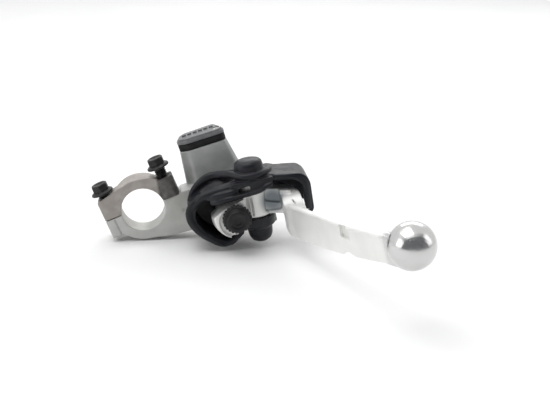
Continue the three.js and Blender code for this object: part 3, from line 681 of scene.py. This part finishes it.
def roll(name, rows):
    """A roll of rubber. Each row is a point and the roll's radius there."""
    path = smooth_path([row[:3] for row in rows])
    radii = [v.x for v in smooth_path([(row[3], 0, 0) for row in rows])]
    return to_object(name, tube(path, radii, 10), LEVER)


ROOF_STEP = 3.2


def step_down(x, y, z):
    """Lowers the boot's roof ahead of the ridge, on the side of the arm."""
    ahead = eased(-y, 18.5, 23.5)
    roof = eased(z, 7.0, 10.0)
    left_of_pivot = eased(-x, -47.0, -41.0)
    past_lip = eased(x, 26.0, 31.0)
    return x, y, z - ROOF_STEP * ahead * roof * left_of_pivot * past_lip


def dust_cover():
    """The moulded boot: the frame's shell with rolled lips, ridges and a domed button."""
    parts = [
        sculpted("boot", "dust_cover", 0.35, step_down),
        roll("lip", [(x, MOUTH_Y, z, radius) for x, z, radius in COLLAR_LIP]),
        roll("brow", BROW),
        roll("ridge", RIDGE),
        roll("tab", TAB),
        roll("tab_root", TAB_ROOT),
        to_object("button", turned(BUTTON, PIVOT, 56), LEVER),
    ]
    return moulded("dust_cover_shape", parts, 0.32, 6, 0.45)


stands_for(dust_cover(), "dust_cover", COVER)


# ---------- lever ----------

# The blade's front face runs from its root towards the ball, and is recessed past the shoulder.
BLADE_ROOT = Vector((68.4, -34))
BLADE_RUN = (Vector((BALL[0] - 4.6, BALL[1])) - BLADE_ROOT).normalized()
BLADE_ACROSS = Vector((-BLADE_RUN.y, BLADE_RUN.x))
RECESS = 0.9
SHOULDER_END = 9.6
FACE_REACH = 0.5


def fair_root(x, y, z):
    """Eases the shoulder into the recessed face of the blade, by pressing in what stands proud of it."""
    out = Vector((x, y)) - BLADE_ROOT
    along = out.dot(BLADE_RUN)
    depth = out.dot(BLADE_ACROSS)
    face = RECESS * eased(along, 0.5, 8.0) * eased(-z, 3.4, 4.8)
    if not (0 < along < SHOULDER_END and -FACE_REACH < depth < face):
        return x, y, z
    moved = Vector((x, y)) + BLADE_ACROSS * (face - depth)
    return moved.x, moved.y, z


blank = sculpted("blade", "lever", 0.25, fair_root)
stands_for(moulded("lever_shape", [blank], 0.24, 3, 0.5), "lever", POLISHED)


# ---------- adjuster knob ----------


def adjuster_knob():
    """A knurled wheel with a raised face and a shallow socket."""
    teeth = 24

    def knurl(depth, radius):
        """The wheel's outline with grooves of a depth."""
        return lambda angle: radius - depth * (0.5 - 0.5 * math.cos(teeth * angle)) ** 2

    def socket(angle):
        """The outline of the hexagon socket."""
        return sharp_hexagon(1.7, angle)

    levels = [(2.6, -32.0), (6.2, -32.0), (knurl(0.2, 6.8), -32.15), (knurl(0.62, 7.25), -32.6)]
    levels += [(knurl(0.7, 7.3), -33.6), (knurl(0.62, 7.25), -34.6), (knurl(0.4, 6.95), -35.1)]
    levels += [(knurl(0.2, 6.5), -35.35), (5.9, -35.4), (5.72, -35.6), (5.6, -38.0), (5.4, -38.6)]
    levels += [(5.0, -38.9), (4.5, -39.0), (3.6, -39.0), (3.4, -38.9), (3.3, -38.6), (3.1, -38.5)]
    levels += [(socket, -38.5), (socket, -37.8), (0.3, -37.7)]
    knob = to_object("adjuster_knob_shape", turned(levels, PISTON, 192, "Y"), LEVER)
    sharp_over(knob, 40)
    return knob


stands_for(adjuster_knob(), "adjuster_knob", KNOB)


# ---------- small machined pieces ----------

# Width of the broken edges in millimetres, and finish, by node.
SMALL = {
    "lid_screw": (0.12, PLATED),
    "pivot_bolt": (0.2, PLATED),
    "pivot_nut": (0.2, PLATED),
    "thrust_washer_upper": (0.12, PLATED),
    "thrust_washer_lower": (0.12, PLATED),
    "adjuster_barrel": (0.2, PLATED),
    "push_rod": (0.15, PLATED),
    "circlip": (0.08, PLATED),
    "return_spring": (0.02, PLATED),
    "lever_bush": (0.12, BRONZE),
    "piston": (0.15, PISTON_LOOK),
    "primary_cup": (0.1, SEAL),
    "secondary_cup": (0.1, SEAL),
    "piston_bellows": (0.15, SEAL),
}
small = {}
for node, (bevel, material) in SMALL.items():
    small[node] = stands_for(machined(node + "_shape", node, bevel), node, material)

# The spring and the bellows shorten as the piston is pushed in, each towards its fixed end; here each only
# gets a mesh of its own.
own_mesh(small["return_spring"])
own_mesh(small["piston_bellows"])


# ---------- floor, light and camera ----------

FLOOR_Z = -16.8
FLOOR_HALF = 4000
FLOOR_THICK = 2


def floor_look():
    """White paper."""
    look = Look("paper", Roughness=0.8, Specular_IOR_Level=0.2)
    look.put("Base Color", look.blend(look.mottle(80, 3), (0.93, 0.93, 0.93), (0.95, 0.95, 0.95)))
    look.bump(look.noise(3, 3), 0.02, 0.1)
    return look.material


square = [(FLOOR_HALF * x, FLOOR_HALF * y) for x, y in ((-1, -1), (1, -1), (1, 1), (-1, 1))]
sheet = skin([[(x, y, height) for x, y in square] for height in (0, -FLOOR_THICK)])
ground = to_object("floor", sheet, Matrix.Translation((0, 0, FLOOR_Z * MM)))
ground.data.materials.append(floor_look())

# From here on, places and sizes are metres.
MIDDLE = Vector((0.04, -0.04, 0.0))


def softbox(name, where, size, power):
    """A soft rectangular light that faces the middle of the object."""
    light = bpy.data.lights.new(name, "AREA")
    light.shape = "RECTANGLE"
    light.size, light.size_y = size
    light.energy = power
    lamp = bpy.data.objects.new(name, light)
    bpy.context.scene.collection.objects.link(lamp)
    lamp.location = where
    lamp.rotation_euler = (MIDDLE - Vector(where)).to_track_quat("-Z", "Y").to_euler()


softbox("key", (-0.25, -0.1, 0.95), (0.9, 0.7), 4.2)
softbox("back", (0.3, 0.8, 0.6), (0.9, 0.4), 2.4)
softbox("right", (0.9, -0.3, 0.4), (0.4, 0.6), 0.9)
softbox("left", (-0.85, -0.35, 0.35), (0.5, 0.6), 1.8)


def studio_world(strength):
    """A white tent that is open, and so dark, on the side the camera stands."""
    world = bpy.data.worlds.new("studio")
    world.use_nodes = True
    tree = world.node_tree
    sky = next(n for n in tree.nodes if n.type == "BACKGROUND")
    direction = tree.nodes.new("ShaderNodeSeparateXYZ")
    tree.links.new(tree.nodes.new("ShaderNodeTexCoord").outputs["Generated"], direction.inputs[0])
    shares = []
    for axis, bright, dark in (("Y", 0.05, -0.45), ("Z", 0.97, 0.8)):
        ramp = tree.nodes.new("ShaderNodeMapRange")
        ramp.interpolation_type = "SMOOTHSTEP"
        ramp.inputs["From Min"].default_value = bright
        ramp.inputs["From Max"].default_value = dark
        tree.links.new(direction.outputs[axis], ramp.inputs["Value"])
        shares.append(ramp.outputs[0])
    both = tree.nodes.new("ShaderNodeMath")
    both.operation = "MULTIPLY"
    for share, socket in zip(shares, both.inputs):
        tree.links.new(share, socket)
    mix = tree.nodes.new("ShaderNodeMix")
    mix.data_type = "RGBA"
    tree.links.new(both.outputs[0], mix.inputs[0])
    mix.inputs[6].default_value = (1, 1, 1, 1)
    mix.inputs[7].default_value = (0.16, 0.165, 0.175, 1)
    tree.links.new(mix.outputs[2], sky.inputs["Color"])
    sky.inputs["Strength"].default_value = strength
    return world


bpy.context.scene.world = studio_world(0.9)

view = bpy.data.cameras.new("camera")
view.sensor_width = 36
view.lens = 72
view.clip_start = 0.01
view.clip_end = 20
camera = bpy.data.objects.new("camera", view)
bpy.context.scene.collection.objects.link(camera)
camera.location = (0.00363, -0.54288, 0.17463)
camera.rotation_euler = (math.radians(72), 0, math.radians(-6.8))
bpy.context.scene.camera = camera
bpy.context.scene.view_settings.view_transform = "Standard"
bpy.context.scene.view_settings.look = "None"
bpy.context.scene.view_settings.exposure = 0.0
